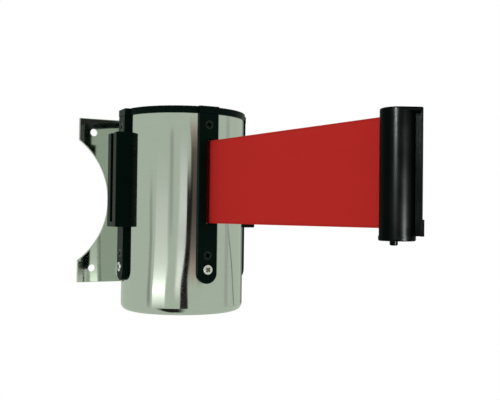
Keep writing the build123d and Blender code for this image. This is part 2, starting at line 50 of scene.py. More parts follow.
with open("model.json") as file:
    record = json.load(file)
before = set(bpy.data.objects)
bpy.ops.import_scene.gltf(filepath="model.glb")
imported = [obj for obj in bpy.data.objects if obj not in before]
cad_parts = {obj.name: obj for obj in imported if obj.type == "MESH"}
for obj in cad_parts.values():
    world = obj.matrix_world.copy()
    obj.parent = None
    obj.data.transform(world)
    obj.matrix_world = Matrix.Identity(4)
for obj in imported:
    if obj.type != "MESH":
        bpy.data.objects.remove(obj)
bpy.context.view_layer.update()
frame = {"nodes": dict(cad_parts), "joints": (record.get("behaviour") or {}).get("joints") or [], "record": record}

MM = 0.001
TOUCH = 0.1 * MM  # a point this near to a level counts as on it
AXIS_X = 0.0
shell_low, shell_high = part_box("shell")
AXIS_Y = (shell_low.y + shell_high.y) / 2
joints = {joint["name"]: joint for joint in frame["joints"]}
EXIT = Vector(joints["belt_swing"]["pos_m"])
BELT_DIR = Vector(joints["belt_pull"]["axis"]).normalized()
ROD = Vector(joints["end_swivel"]["pos_m"])
run_low, run_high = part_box("belt_run")
BELT_Z0 = run_low.z
BELT_Z1 = run_high.z
END_MOULDINGS = ("belt_end_body", "belt_end_cap", "belt_rod")  # share the glossier black moulding


# ---- sizes and colours
class ShellSettings(bpy.types.PropertyGroup):
    radius: FloatProperty(name="Radius", description="Outside radius of the canister's shell",
                          default=(shell_high.x - shell_low.x) / 2, unit="LENGTH")
    wall: FloatProperty(name="Wall", description="Thickness of the drawn sheet", default=0.8 * MM,
                        unit="LENGTH")
    bottom_round: FloatProperty(name="Bottom round", description="Outside radius of the cup's bottom edge",
                                default=4.3 * MM, unit="LENGTH")
    slot_half: FloatProperty(name="Slot half width", description="Half the width of the belt's opening",
                             default=3.0 * MM, unit="LENGTH")
    slot_margin: FloatProperty(name="Slot margin", description="Room above and below the belt together",
                               default=3.0 * MM, unit="LENGTH")
    ring_share: FloatProperty(name="Ring share", description="Width of the bottom's rings in radii",
                              default=0.22)
    segments: IntProperty(name="Segments", description="Faces round the shell", default=256)


class ScrewSettings(bpy.types.PropertyGroup):
    length: FloatProperty(name="Length", description="Length of the strip screws", default=8.5 * MM,
                          unit="LENGTH")
    pan_height: FloatProperty(name="Pan head height", description="Height of the plated pan heads",
                              default=0.9 * MM, unit="LENGTH")
    pan_round: FloatProperty(name="Pan head round", description="Rounding of the pan heads' edge",
                             default=0.5 * MM, unit="LENGTH")
    pan_shank: FloatProperty(name="Pan head shank", description="Radius of the plated screws' shank",
                             default=1.5 * MM, unit="LENGTH")
    pan_recess: FloatVectorProperty(name="Pan head recess", description="Width, length and depth of an arm",
                                    default=(1.25 * MM, 3.1 * MM, 0.65 * MM), subtype="XYZ_LENGTH")
    sunk_head: FloatProperty(name="Countersunk head", description="Radius of the black countersunk heads",
                             default=2.6 * MM, unit="LENGTH")
    sunk_round: FloatProperty(name="Countersunk round", description="Rounding of the black heads' edge",
                              default=0.12 * MM, unit="LENGTH")
    sunk_shank: FloatProperty(name="Countersunk shank", description="Radius of the black screws' shank",
                              default=1.25 * MM, unit="LENGTH")
    sunk_recess: FloatVectorProperty(name="Countersunk recess",
                                     description="Width, length and depth of an arm",
                                     default=(1.2 * MM, 3.1 * MM, 0.9 * MM), subtype="XYZ_LENGTH")


class BeltSettings(bpy.types.PropertyGroup):
    thickness: FloatProperty(name="Thickness", description="Thickness of the webbing", default=0.5 * MM,
                             unit="LENGTH")
    thread_pitch: FloatProperty(name="Thread pitch", description="Distance between neighbouring threads",
                                default=0.55 * MM, unit="LENGTH")
    selvedge: FloatProperty(name="Selvedge", description="Width of the bound edge of the webbing",
                            default=1.4 * MM, unit="LENGTH")
    root_in: FloatProperty(name="Root inside", description="Length of the webbing's root inside the slot",
                           default=6.0 * MM, unit="LENGTH")
    root_out: FloatProperty(name="Root outside", description="Length of the webbing's root beyond the slot",
                            default=7.0 * MM, unit="LENGTH")
    bend: FloatProperty(name="Bend", description="Length over which the webbing bends at the slot",
                        default=3.0 * MM, unit="LENGTH")
    rod_reach: FloatProperty(name="Rod reach", description="From the rod's axis to the end of the free run",
                             default=2.3 * MM, unit="LENGTH")
    ripple: FloatProperty(name="Ripple", description="Height of the webbing's soft ripple",
                          default=0.08 * MM, unit="LENGTH")


class FinishSettings(bpy.types.PropertyGroup):
    steel: FloatVectorProperty(name="Polished steel", description="Tint of the polished stainless sheet",
                               default=(0.655, 0.70, 0.645), subtype="COLOR")
    plastic: FloatVectorProperty(name="Black plastic", description="Colour of the moulded black plastic",
                                 default=(0.0008, 0.0052, 0.0038), subtype="COLOR")
    webbing: FloatVectorProperty(name="Webbing", description="Colour of the red webbing",
                                 default=(0.44, 0.021, 0.018), subtype="COLOR")
    bright: FloatVectorProperty(name="Bright steel", description="Colour of the plated screws and pins",
                                default=(0.95, 0.95, 0.93), subtype="COLOR")


class StageSettings(bpy.types.PropertyGroup):
    floor_drop: FloatProperty(name="Floor drop", description="Distance of the floor below the canister",
                              default=0.22, unit="LENGTH")
    room_light: FloatProperty(name="Room light", description="Brightness of the even light all round",
                              default=0.86)
    tent_light: FloatProperty(name="Tent light", description="Brightness of the pale tent seen in polish",
                              default=0.60)
    key_power: FloatProperty(name="Key power", description="Power of the large soft light overhead",
                             default=1.2, unit="POWER")
    strip_power: FloatProperty(name="Strip power", description="Power of the tall light beside the belt end",
                               default=28.0, unit="POWER")
    side_power: FloatProperty(name="Side power", description="Power of the soft light behind the left side",
                              default=1.1, unit="POWER")
    glint_power: FloatProperty(name="Glint power", description="Power of the light on the plated heads",
                               default=3.6, unit="POWER")
    camera_place: FloatVectorProperty(name="Camera place", description="Where the camera stands",
                                      default=(-0.17596, -0.49712, -0.00895), subtype="TRANSLATION")
    lens: FloatProperty(name="Lens", description="Focal length in millimetres", default=55.07)


# ---- node helpers
def new_group(name, inputs, outputs):
    """A shader node group with float or vector inputs given as name to (kind, default)."""
    tree = bpy.data.node_groups.new(name, "ShaderNodeTree")
    for socket_name, (kind, default) in inputs.items():
        socket = tree.interface.new_socket(name=socket_name, in_out="INPUT", socket_type=kind)
        if default is not None:
            socket.default_value = default
    for socket_name, kind in outputs.items():
        tree.interface.new_socket(name=socket_name, in_out="OUTPUT", socket_type=kind)
    return tree, tree.nodes.new("NodeGroupInput"), tree.nodes.new("NodeGroupOutput")


def add_node(tree, kind, values=None, links=None, **settings):
    """A node with its settings, its sockets' values and its incoming links."""
    node = tree.nodes.new(kind)
    for name, value in settings.items():
        setattr(node, name, value)
    for name, value in (values or {}).items():
        node.inputs[name].default_value = value
    for name, source in (links or {}).items():
        tree.links.new(source, node.inputs[name])
    return node


def use_group(tree, group, values=None, links=None):
    """A shared group placed in a material."""
    return add_node(tree, "ShaderNodeGroup", values, links, node_tree=group)


def grain_group():
    """Fine moulded or ground grain: one noise for the surface and a slower one that varies it."""
    tree, inp, out = new_group(
        "Fine grain",
        {"Vector": ("NodeSocketVector", None), "Scale": ("NodeSocketFloat", 2200.0),
         "Depth": ("NodeSocketFloat", 1.0)},
        {"Height": "NodeSocketFloat", "Mask": "NodeSocketFloat"})
    fine = add_node(tree, "ShaderNodeTexNoise", {"Detail": 2.0, "Roughness": 0.6},
                    {"Vector": inp.outputs["Vector"], "Scale": inp.outputs["Scale"]})
    slow_scale = add_node(tree, "ShaderNodeMath", {1: 0.035}, {0: inp.outputs["Scale"]},
                          operation="MULTIPLY")
    slow = add_node(tree, "ShaderNodeTexNoise", {"Detail": 3.0, "Roughness": 0.55},
                    {"Vector": inp.outputs["Vector"], "Scale": slow_scale.outputs[0]})
    height = add_node(tree, "ShaderNodeMath", None,
                      {0: fine.outputs["Fac"], 1: inp.outputs["Depth"]}, operation="MULTIPLY")
    tree.links.new(height.outputs[0], out.inputs["Height"])
    tree.links.new(slow.outputs["Fac"], out.inputs["Mask"])
    return tree


def lines_group():
    """Polishing lines: noise drawn out along one direction by the Stretch vector."""
    tree, inp, out = new_group(
        "Polishing lines",
        {"Vector": ("NodeSocketVector", None), "Stretch": ("NodeSocketVector", (1.0, 1.0, 1.0)),
         "Scale": ("NodeSocketFloat", 60.0)},
        {"Height": "NodeSocketFloat", "Mask": "NodeSocketFloat"})
    drawn = add_node(tree, "ShaderNodeVectorMath", None,
                     {0: inp.outputs["Vector"], 1: inp.outputs["Stretch"]}, operation="MULTIPLY")
    lines = add_node(tree, "ShaderNodeTexNoise", {"Detail": 6.0, "Roughness": 0.7},
                     {"Vector": drawn.outputs[0], "Scale": inp.outputs["Scale"]})
    sharp = add_node(tree, "ShaderNodeMapRange", {"From Min": 0.42, "From Max": 0.66},
                     {"Value": lines.outputs["Fac"]})
    tree.links.new(lines.outputs["Fac"], out.inputs["Height"])
    tree.links.new(sharp.outputs["Result"], out.inputs["Mask"])
    return tree


def smudge_group():
    """Soft marks left by handling, and small specks of dust."""
    tree, inp, out = new_group(
        "Smudges and dust",
        {"Vector": ("NodeSocketVector", None), "Scale": ("NodeSocketFloat", 28.0),
         "Dust scale": ("NodeSocketFloat", 420.0)},
        {"Smudge": "NodeSocketFloat", "Dust": "NodeSocketFloat"})
    cloud = add_node(tree, "ShaderNodeTexNoise", {"Detail": 4.0, "Roughness": 0.62, "Distortion": 0.6},
                     {"Vector": inp.outputs["Vector"], "Scale": inp.outputs["Scale"]})
    marks = add_node(tree, "ShaderNodeMapRange", {"From Min": 0.46, "From Max": 0.72},
                     {"Value": cloud.outputs["Fac"]})
    specks = add_node(tree, "ShaderNodeTexVoronoi", {"Randomness": 1.0},
                      {"Vector": inp.outputs["Vector"], "Scale": inp.outputs["Dust scale"]})
    dots = add_node(tree, "ShaderNodeMapRange", {"From Min": 0.16, "From Max": 0.05},
                    {"Value": specks.outputs["Distance"]})
    patch = add_node(tree, "ShaderNodeMath", None, {0: dots.outputs["Result"], 1: marks.outputs["Result"]},
                     operation="MULTIPLY")
    tree.links.new(marks.outputs["Result"], out.inputs["Smudge"])
    tree.links.new(patch.outputs[0], out.inputs["Dust"])
    return tree


def weave_group():
    """Plain weave from a map in metres: warp and weft threads that pass over each other by turns."""
    tree, inp, out = new_group(
        "Plain weave",
        {"Vector": ("NodeSocketVector", None), "Pitch": ("NodeSocketFloat", 0.00055)},
        {"Height": "NodeSocketFloat", "Shade": "NodeSocketFloat"})
    parts = add_node(tree, "ShaderNodeSeparateXYZ", None, {"Vector": inp.outputs["Vector"]})
    waves = []
    for axis in ("X", "Y"):
        turns = add_node(tree, "ShaderNodeMath", None, {0: parts.outputs[axis], 1: inp.outputs["Pitch"]},
                         operation="DIVIDE")
        half = add_node(tree, "ShaderNodeMath", {1: math.pi}, {0: turns.outputs[0]}, operation="MULTIPLY")
        waves.append(add_node(tree, "ShaderNodeMath", None, {0: half.outputs[0]}, operation="SINE"))
    over = add_node(tree, "ShaderNodeMath", None, {0: waves[0].outputs[0], 1: waves[1].outputs[0]},
                    operation="MULTIPLY")
    threads = add_node(tree, "ShaderNodeMath", None, {0: over.outputs[0]}, operation="ABSOLUTE")
    tilt = add_node(tree, "ShaderNodeMapRange", {"From Min": -1.0, "From Max": 1.0},
                    {"Value": over.outputs[0]})
    soft = add_node(tree, "ShaderNodeMath", {1: 0.55}, {0: threads.outputs[0]}, operation="POWER")
    tree.links.new(soft.outputs[0], out.inputs["Height"])
    tree.links.new(tilt.outputs["Result"], out.inputs["Shade"])
    return tree


groups = {}


def shared(name):
    """The shared node group of this name, built the first time that it is asked for."""
    builders = {"grain": grain_group, "lines": lines_group, "smudge": smudge_group, "weave": weave_group}
    if name not in groups:
        groups[name] = builders[name]()
    return groups[name]


# ---- materials
def start_material(name, **plain):
    """A material with a Principled shader whose uniform values are set on its own sockets."""
    mat = bpy.data.materials.new(name)
    mat.use_nodes = True
    tree = mat.node_tree
    shader = tree.nodes["Principled BSDF"]
    for socket, value in plain.items():
        shader.inputs[socket.replace("_", " ")].default_value = value
    coords = tree.nodes.new("ShaderNodeTexCoord")
    return mat, tree, shader, coords


def set_bump(tree, shader, height, distance, strength=1.0):
    """Bump from a height, feeding the shader's normal."""
    bump = add_node(tree, "ShaderNodeBump", {"Strength": strength, "Distance": distance},
                    {"Height": height})
    tree.links.new(bump.outputs["Normal"], shader.inputs["Normal"])
    return bump


def ramp_value(tree, source, low, high):
    """A value that runs from low to high with the source."""
    node = add_node(tree, "ShaderNodeMapRange", {"To Min": low, "To Max": high}, {"Value": source})
    return node.outputs["Result"]


def mix_colour(tree, mask, colour_a, colour_b):
    """Colour a where the mask is 0 and colour b where it is 1."""
    node = tree.nodes.new("ShaderNodeMix")
    node.data_type = "RGBA"
    node.inputs["A"].default_value = (*colour_a, 1.0)
    node.inputs["B"].default_value = (*colour_b, 1.0)
    tree.links.new(mask, node.inputs["Factor"])
    return node.outputs["Result"]


def scaled(colour, factor):
    """The colour, lighter or darker."""
    return tuple(min(1.0, channel * factor) for channel in colour)


def polished_steel(name, tint, stretch, rough_low, rough_high):
    """Polished stainless sheet with faint polishing lines, hand marks and a slow waviness."""
    mat, tree, shader, coords = start_material(name, Metallic=1.0)
    where = coords.outputs["Object"]
    lines = use_group(tree, shared("lines"), {"Stretch": stretch, "Scale": 90.0}, {"Vector": where})
    marks = use_group(tree, shared("smudge"), {"Scale": 34.0, "Dust scale": 700.0}, {"Vector": where})
    colour = mix_colour(tree, lines.outputs["Mask"], tint, scaled(tint, 0.975))
    tree.links.new(colour, shader.inputs["Base Color"])
    both = add_node(tree, "ShaderNodeMath", {1: 0.25}, {0: lines.outputs["Mask"]}, operation="MULTIPLY")
    total = add_node(tree, "ShaderNodeMath", None, {0: both.outputs[0], 1: marks.outputs["Smudge"]},
                     operation="ADD")
    tree.links.new(ramp_value(tree, total.outputs[0], rough_low, rough_high), shader.inputs["Roughness"])
    wavy = add_node(tree, "ShaderNodeTexNoise", {"Scale": 26.0, "Detail": 1.0}, {"Vector": where})
    wave_bump = add_node(tree, "ShaderNodeBump", {"Strength": 0.22, "Distance": 0.6 * MM},
                         {"Height": wavy.outputs["Fac"]})
    fine = set_bump(tree, shader, lines.outputs["Height"], 0.003 * MM, 0.4)
    tree.links.new(wave_bump.outputs["Normal"], fine.inputs["Normal"])
    return mat


def machined_metal(name, tint, roughness):
    """Small turned or plated steel parts with a fine machined grain."""
    mat, tree, shader, coords = start_material(name, Metallic=1.0)
    grain = use_group(tree, shared("grain"), {"Scale": 600.0, "Depth": 1.0},
                      {"Vector": coords.outputs["Object"]})
    tree.links.new(mix_colour(tree, grain.outputs["Mask"], scaled(tint, 0.86), scaled(tint, 1.06)),
                   shader.inputs["Base Color"])
    tree.links.new(ramp_value(tree, grain.outputs["Mask"], roughness * 0.7, roughness * 1.4),
                   shader.inputs["Roughness"])
    set_bump(tree, shader, grain.outputs["Height"], 0.01 * MM, 0.4)
    return mat


def moulded_plastic(name, colour, roughness, grain_depth, gloss=0.4, top_roughness=None):
    """Moulded plastic: fine grain, uneven gloss, a little dust in the marks, and a duller top if asked."""
    mat, tree, shader, coords = start_material(name, IOR=1.5, Specular_IOR_Level=gloss)
    where = coords.outputs["Object"]
    grain = use_group(tree, shared("grain"), {"Scale": 1500.0, "Depth": 1.0}, {"Vector": where})
    marks = use_group(tree, shared("smudge"), {"Scale": 46.0, "Dust scale": 900.0}, {"Vector": where})
    dusty = add_node(tree, "ShaderNodeMath", {1: 0.35}, {0: marks.outputs["Dust"]}, operation="MULTIPLY")
    tree.links.new(mix_colour(tree, dusty.outputs[0], colour, scaled(colour, 2.6)),
                   shader.inputs["Base Color"])
    rough = add_node(tree, "ShaderNodeMath", None,
                     {0: marks.outputs["Smudge"], 1: grain.outputs["Mask"]}, operation="ADD")
    surface = ramp_value(tree, rough.outputs[0], roughness * 0.8, roughness * 1.15)
    if top_roughness is not None:
        facing = add_node(tree, "ShaderNodeSeparateXYZ", None, {"Vector": coords.outputs["Normal"]})
        upward = add_node(tree, "ShaderNodeMapRange", {"From Min": 0.75, "From Max": 0.95},
                          {"Value": facing.outputs["Z"]})
        surface = add_node(tree, "ShaderNodeMix", {"B": top_roughness},
                           {"Factor": upward.outputs["Result"], "A": surface}).outputs["Result"]
    tree.links.new(surface, shader.inputs["Roughness"])
    set_bump(tree, shader, grain.outputs["Height"], grain_depth, 0.6)
    return mat


def webbing(name, colour, pitch, selvedge, width):
    """Woven polyester webbing read from the map in metres, with bound edges and a faint sheen."""
    mat, tree, shader, coords = start_material(name, Roughness=0.82, Sheen_Weight=0.03,
                                               Sheen_Roughness=0.4, Specular_IOR_Level=0.03)
    shader.inputs["Sheen Tint"].default_value = (1.0, 0.25, 0.2, 1.0)
    cloth = add_node(tree, "ShaderNodeUVMap", uv_map="Cloth")
    weave = use_group(tree, shared("weave"), {"Pitch": pitch}, {"Vector": cloth.outputs["UV"]})
    parts = add_node(tree, "ShaderNodeSeparateXYZ", None, {"Vector": cloth.outputs["UV"]})
    from_mid = add_node(tree, "ShaderNodeMath", {1: width / 2}, {0: parts.outputs["Y"]},
                        operation="SUBTRACT")
    away = add_node(tree, "ShaderNodeMath", None, {0: from_mid.outputs[0]}, operation="ABSOLUTE")
    edge = add_node(tree, "ShaderNodeMapRange",
                    {"From Min": width / 2 - selvedge, "From Max": width / 2 - selvedge * 0.8},
                    {"Value": away.outputs[0]})
    fade = add_node(tree, "ShaderNodeTexNoise", {"Scale": 38.0, "Detail": 3.0},
                    {"Vector": cloth.outputs["UV"]})
    warm = mix_colour(tree, fade.outputs["Fac"], scaled(colour, 0.93), scaled(colour, 1.05))
    thread = mix_colour(tree, weave.outputs["Shade"], scaled(colour, 0.80), scaled(colour, 1.10))
    both = tree.nodes.new("ShaderNodeMix")
    both.data_type = "RGBA"
    both.inputs["Factor"].default_value = 0.5
    tree.links.new(warm, both.inputs["A"])
    tree.links.new(thread, both.inputs["B"])
    bound = tree.nodes.new("ShaderNodeMix")
    bound.data_type = "RGBA"
    bound.inputs["B"].default_value = (*scaled(colour, 0.86), 1.0)
    edge_share = add_node(tree, "ShaderNodeMath", {1: 0.7}, {0: edge.outputs["Result"]},
                          operation="MULTIPLY")
    tree.links.new(edge_share.outputs[0], bound.inputs["Factor"])
    tree.links.new(both.outputs["Result"], bound.inputs["A"])
    tree.links.new(bound.outputs["Result"], shader.inputs["Base Color"])
    set_bump(tree, shader, weave.outputs["Height"], 0.09 * MM, 0.55)
    return mat


finishes = {}


def finish_of(slot_name):
    """The material for one of the record's slots."""
    look = bpy.context.scene.belt_unit_finish
    belt = bpy.context.scene.belt_unit_belt
    steel = tuple(look.steel)
    bright = tuple(look.bright)
    gloss_black = scaled(look.plastic, 0.35)
    makers = {
        "polished_steel": lambda: polished_steel("Polished stainless", steel, (1.0, 1.0, 14.0), 0.05, 0.11),
        "bright_steel": lambda: machined_metal("Bright plated steel", bright, 0.28),
        "black_steel": lambda: machined_metal("Black oxide steel", (0.030, 0.040, 0.038), 0.22),
        # The two recess finishes are painted shade: darker metal on the cross recesses of the black and plated
        # heads
        "painted_shade_black_recess": lambda: machined_metal("Shaded black recess", (0.002, 0.003, 0.003), 0.5),
        "painted_shade_plated_recess": lambda: machined_metal("Shaded plated recess", (0.20, 0.18, 0.13), 0.4),
        "spring_steel": lambda: machined_metal("Blued spring strip", (0.24, 0.28, 0.34), 0.3),
        "black_plastic": lambda: moulded_plastic("Black moulding", tuple(look.plastic), 0.22, 0.02 * MM,
                                                 gloss=0.035),
        "gloss_plastic": lambda: moulded_plastic("Black belt end moulding", gloss_black, 0.24, 0.02 * MM,
                                                 gloss=0.03, top_roughness=0.75),
        "frame_plastic": lambda: moulded_plastic("Frame moulding", (0.045, 0.045, 0.05), 0.6, 0.03 * MM),
        "spool_plastic": lambda: moulded_plastic("Natural nylon", (0.62, 0.60, 0.54), 0.5, 0.02 * MM),
        "acetal": lambda: moulded_plastic("White acetal", (0.82, 0.82, 0.80), 0.35, 0.01 * MM),
        "red_webbing": lambda: webbing("Red webbing", tuple(look.webbing), belt.thread_pitch,
                                       belt.selvedge, BELT_Z1 - BELT_Z0),
    }
    if slot_name not in finishes:
        finishes[slot_name] = makers[slot_name]()
    return finishes[slot_name]


# ---- mesh helpers
def deselect_all():
    """Leave edit mode and drop the selection."""
    if bpy.context.object and bpy.context.object.mode != "OBJECT":
        bpy.ops.object.mode_set(mode="OBJECT")
    bpy.ops.object.select_all(action="DESELECT")


def make_active(obj):
    """Select this object alone."""
    deselect_all()
    obj.select_set(True)
    bpy.context.view_layer.objects.active = obj


def pick(obj, faces=None, edges=None):
    """Go to edit mode with the faces or edges that pass the test selected."""
    make_active(obj)
    mesh = obj.data
    for group in (mesh.vertices, mesh.edges, mesh.polygons):
        group.foreach_set("select", [False] * len(group))
    if faces:
        for face in mesh.polygons:
            face.select = faces(face)
        bpy.context.tool_settings.mesh_select_mode = (False, False, True)
    if edges:
        for edge in mesh.edges:
            ends = [mesh.vertices[i] for i in edge.vertices]
            edge.select = edges(ends[0].co, ends[1].co)
            if edge.select:
                ends[0].select = ends[1].select = True
        bpy.context.tool_settings.mesh_select_mode = (False, True, False)
    bpy.ops.object.mode_set(mode="EDIT")


def leave_edit():
    """Back to object mode."""
    bpy.ops.object.mode_set(mode="OBJECT")


def apply_modifier(obj, kind, **settings):
    """Add a modifier, set it and apply it."""
    make_active(obj)
    mod = obj.modifiers.new(kind.title(), kind)
    for name, value in settings.items():
        setattr(mod, name, value)
    bpy.ops.object.modifier_apply(modifier=mod.name)


def place_new(name):
    """Name the new object, put its place in its mesh and return it."""
    obj = bpy.context.object
    obj.name = name
    obj.data.name = name
    bpy.ops.object.transform_apply(location=True, rotation=True, scale=True)
    return obj


def finish_piece(obj, slot_name, body=None, smooth_angle=35.0):
    """Smooth shading and the material of its slot, and a ride on its body if one is given."""
    make_active(obj)
    bpy.ops.object.shade_smooth_by_angle(angle=math.radians(smooth_angle))
    obj.data.materials.clear()
    obj.data.materials.append(finish_of(slot_name))
    if body:
        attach(obj, body)


# ---- pieces
class BELTUNIT_OT_shell(bpy.types.Operator):
    """Drawn steel cup: a cylinder with a rounded bottom edge, an open top and the belt's opening"""
    bl_idname = "beltunit.shell"
    bl_label = "Canister shell"

    def execute(self, context):
        size = context.scene.belt_unit_shell
        bottom = shell_low.z
        top = shell_high.z
        deselect_all()
        bpy.ops.mesh.primitive_cylinder_add(vertices=size.segments, radius=size.radius, depth=top - bottom,
                                            location=(AXIS_X, AXIS_Y, (top + bottom) / 2))
        shell = place_new("canister_shell")
        pick(shell, edges=lambda a, b: max(a.z, b.z) < bottom + TOUCH)
        bpy.ops.mesh.bevel(offset=size.bottom_round, segments=8, affect="EDGES")
        leave_edit()
        pick(shell, faces=lambda face: face.normal.z < -0.999)
        for ring in range(3):
            bpy.ops.mesh.inset(thickness=size.radius * size.ring_share)
        leave_edit()
        pick(shell, faces=lambda face: face.normal.z > 0.99)
        bpy.ops.mesh.delete(type="FACE")
        leave_edit()
        apply_modifier(shell, "SOLIDIFY", thickness=size.wall, offset=-1.0, use_even_offset=True)
        middle = (EXIT.x, AXIS_Y - size.radius, (BELT_Z0 + BELT_Z1) / 2)
        slot = (2 * size.slot_half, 10 * MM, BELT_Z1 - BELT_Z0 + size.slot_margin)
        bpy.ops.mesh.primitive_cube_add(size=1.0, location=middle, scale=slot)
        cutter = bpy.context.object
        apply_modifier(shell, "BOOLEAN", operation="DIFFERENCE", solver="EXACT", object=cutter)
        bpy.data.objects.remove(cutter)
        finish_piece(shell, "polished_steel", "canister", 30.0)
        apply_modifier(shell, "WEIGHTED_NORMAL", mode="FACE_AREA", weight=90, keep_sharp=True)
        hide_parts("shell")
        return {"FINISHED"}


# Faces within this share of an arm's length from the axis, and deeper than this, are the recess's own and take its
# painted shade
RECESS_REACH = 0.55
RECESS_START = 0.02 * MM


def screw_form(name, head, foot, height, edge_round, shank, length, arms):
    """Screw along Z with its face at the origin; arms holds a recess arm's width, length and depth."""
    deselect_all()
    bpy.ops.mesh.primitive_cone_add(vertices=64, radius1=foot, radius2=head, depth=height,
                                    location=(0, 0, -height / 2))
    screw = place_new(name)
    pick(screw, edges=lambda a, b: min(a.z, b.z) > -TOUCH)
    bpy.ops.mesh.bevel(offset=edge_round, segments=6, affect="EDGES")
    leave_edit()
    for turn in (math.pi / 4, -math.pi / 4):
        bpy.ops.mesh.primitive_cube_add(size=1.0, location=(0, 0, 0), rotation=(0, 0, turn),
                                        scale=(arms[0], arms[1], 2 * arms[2]))
        cutter = bpy.context.object
        apply_modifier(screw, "BOOLEAN", operation="DIFFERENCE", solver="EXACT", object=cutter)
        bpy.data.objects.remove(cutter)
    recess = screw.data.attributes.new("recess", "FLOAT", "FACE")
    for face in screw.data.polygons:
        near = math.hypot(face.center.x, face.center.y) < arms[1] * RECESS_REACH
        sunk = -0.99 * height < face.center.z < -RECESS_START
        recess.data[face.index].value = 1.0 if near and sunk else 0.0
    deselect_all()
    bpy.ops.mesh.primitive_cylinder_add(vertices=32, radius=shank, depth=length - height,
                                        location=(0, 0, -(height + length) / 2))
    screw.select_set(True)
    bpy.context.view_layer.objects.active = screw
    bpy.ops.object.join()
    return screw


# Turn of the cross recess on the front strip in radians, and how much it differs from screw to screw
PAN_TWIST = 0.08
SUNK_TWIST = 0.95
TWIST_PER_STRIP = 0.6
TWIST_PER_LEVEL = 0.25


def stand_screws(screw, reach, heights, twist):
    """Copies of the screw on the four strips at these heights, joined into one object."""
    name = screw.name
    copies = []
    for quarter in range(4):
        outward = Vector((math.sin(quarter * math.pi / 2), -math.cos(quarter * math.pi / 2), 0))
        stand = outward.to_track_quat("Z", "Y").to_matrix().to_4x4()
        for level, height in enumerate(heights):
            copy = screw.copy()
            copy.data = screw.data.copy()
            bpy.context.collection.objects.link(copy)
            turned = Matrix.Rotation(twist + TWIST_PER_STRIP * quarter + TWIST_PER_LEVEL * level, 4, "Z")
            spot = Vector((AXIS_X, AXIS_Y, height)) + outward * reach
            copy.matrix_world = Matrix.Translation(spot) @ stand @ turned
            copies.append(copy)
    bpy.data.objects.remove(screw)
    deselect_all()
    for copy in copies:
        copy.select_set(True)
    bpy.context.view_layer.objects.active = copies[0]
    bpy.ops.object.join()
    return place_new(name)


def finish_screws(screws, slot_name, recess_shade_finish, node):
    """Material, smoothing and place in the frame for a set of screws, with painted shade in the recess: its faces
    take a darker material.
    """
    finish_piece(screws, slot_name, "canister", 30.0)
    screws.data.materials.append(finish_of(recess_shade_finish))
    marks = screws.data.attributes["recess"]
    for face in screws.data.polygons:
        face.material_index = 1 if marks.data[face.index].value > 0.5 else 0
    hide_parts(node)


class BELTUNIT_OT_strip_screws(bpy.types.Operator):
    """Plated pan head screws low on the strips and black countersunk screws at both ends"""
    bl_idname = "beltunit.strip_screws"
    bl_label = "Strip screws"

    def execute(self, context):
        size = context.scene.belt_unit_screws
        low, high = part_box("strip_screws_silver")
        head = (high.z - low.z) / 2
        pan = screw_form("pan_head_screws", head, head, size.pan_height, size.pan_round, size.pan_shank,
                         size.length, size.pan_recess)
        pan = stand_screws(pan, (high.x - low.x) / 2, ((high.z + low.z) / 2,), PAN_TWIST)
        finish_screws(pan, "bright_steel", "painted_shade_plated_recess", "strip_screws_silver")
        low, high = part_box("strip_screws_black")
        head = size.sunk_head
        sunk = screw_form("countersunk_screws", head, size.sunk_shank, head - size.sunk_shank,
                          size.sunk_round, size.sunk_shank, size.length, size.sunk_recess)
        sunk = stand_screws(sunk, (high.x - low.x) / 2, (high.z - head, low.z + head), SUNK_TWIST)
        finish_screws(sunk, "black_steel", "painted_shade_black_recess", "strip_screws_black")
        return {"FINISHED"}


STEPS_ACROSS = 24
ROOT_STEPS = 20
RIPPLE_FADE = 0.03


def belt_strip(name, path, ripple, first, last):
    """Webbing along part of a level path: a grid bent onto it, mapped in metres, then made thick."""
    belt = bpy.context.scene.belt_unit_belt
    lengths = [0.0]
    for start, stop in zip(path, path[1:]):
        lengths.append(lengths[-1] + (stop - start).length)
    height = BELT_Z1 - BELT_Z0
    deselect_all()
    bpy.ops.mesh.primitive_grid_add(x_subdivisions=last - first, y_subdivisions=STEPS_ACROSS, size=1.0)
    strip = bpy.context.object
    strip.name = name
    strip.data.name = name
    mesh = strip.data
    cloth = mesh.uv_layers.new(name="Cloth")
    columns = {}
    for vert in mesh.vertices:
        column = first + round((vert.co.x + 0.5) * (last - first))
        columns[vert.index] = (column, vert.co.y + 0.5)
    for loop in mesh.loops:
        column, share = columns[loop.vertex_index]
        cloth.data[loop.index].uv = (lengths[column], share * height)
    for vert in mesh.vertices:
        column, share = columns[vert.index]
        before = path[max(0, column - 1)]
        after = path[min(len(path) - 1, column + 1)]
        along = (after - before).normalized()
        side = Vector((-along.y, along.x, 0))
        run = lengths[column]
        ends = min(1.0, run / RIPPLE_FADE, (lengths[-1] - run) / RIPPLE_FADE)
        wave = math.sin(run * 61.0 + share * 1.7) + 0.6 * math.sin(run * 23.0 - share * 4.1)
        place = path[column] + side * ripple * ends * wave
        vert.co = (place.x, place.y, BELT_Z0 + share * height)
    apply_modifier(strip, "SOLIDIFY", thickness=belt.thickness, offset=0.0)
    return strip, lengths[last] - lengths[first]


def straight_path(start, stop, steps):
    """Evenly spaced points on a straight line."""
    return [start.lerp(stop, step / steps) for step in range(steps + 1)]


class BELTUNIT_OT_belt_root(bpy.types.Operator):
    """Stretch of webbing that comes straight through the slot, where the belt swings"""
    bl_idname = "beltunit.belt_root"
    bl_label = "Belt root"

    def execute(self, context):
        belt = context.scene.belt_unit_belt
        throat = EXIT - BELT_DIR * belt.root_in
        outer = EXIT + BELT_DIR * belt.root_out
        strip, length = belt_strip("belt_root_webbing", straight_path(throat, outer, ROOT_STEPS), 0.0,
                                   0, ROOT_STEPS)
        finish_piece(strip, "red_webbing")
        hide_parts("belt_lead")
        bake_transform(strip)
        return {"FINISHED"}
